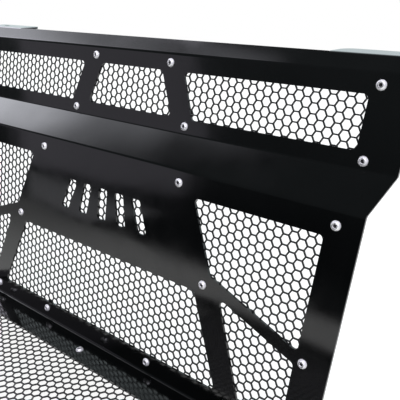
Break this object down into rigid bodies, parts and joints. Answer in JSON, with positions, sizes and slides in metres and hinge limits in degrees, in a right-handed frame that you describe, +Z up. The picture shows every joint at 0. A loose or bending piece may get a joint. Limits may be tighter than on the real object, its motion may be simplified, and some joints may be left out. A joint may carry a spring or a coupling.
{
  "type": "headache rack",
  "caption": "Folded black sheet headache rack: level deck, leaning main panel and stepped upper band, with hexagonal guard sheet bolted behind every window.",
  "frame": {"origin": "centre of the four deck bolt holes, on the underside of the deck", "axes": "+X to the right along the rack, +Y from the deck's front edge towards the back of the rack, +Z up, square to the deck"},
  "size_m": [0.746, 0.5352, 0.4308],
  "materials": {
    "panel_coat": "semi-gloss black powder coat",
    "guard_coat": "satin black powder coat",
    "stainless_head": "bright stainless button heads",
    "zinc_washer": "plain stainless washers",
    "zinc_nut": "plain stainless lock nuts"
  },
  "bodies": {
    "root": {"rack_panel": "panel_coat", "band_guard": "guard_coat", "main_guard": "guard_coat", "deck_guard": "guard_coat", "band_top_screws": "stainless_head", "band_top_washers": "zinc_washer", "band_top_nuts": "zinc_nut", "band_lower_screws": "stainless_head", "band_lower_washers": "zinc_washer", "band_lower_nuts": "zinc_nut", "main_top_screws": "stainless_head", "main_top_washers": "zinc_washer", "main_top_nuts": "zinc_nut", "main_middle_screws": "stainless_head", "main_middle_washers": "zinc_washer", "main_middle_nuts": "zinc_nut", "main_bottom_screws": "stainless_head", "main_bottom_washers": "zinc_washer", "main_bottom_nuts": "zinc_nut", "deck_rear_screws": "stainless_head", "deck_rear_washers": "zinc_washer", "deck_rear_nuts": "zinc_nut", "deck_side_screws": "stainless_head", "deck_side_washers": "zinc_washer", "deck_side_nuts": "zinc_nut", "deck_front_screws": "stainless_head", "deck_front_washers": "zinc_washer", "deck_front_nuts": "zinc_nut"}
  },
  "joints": []
}
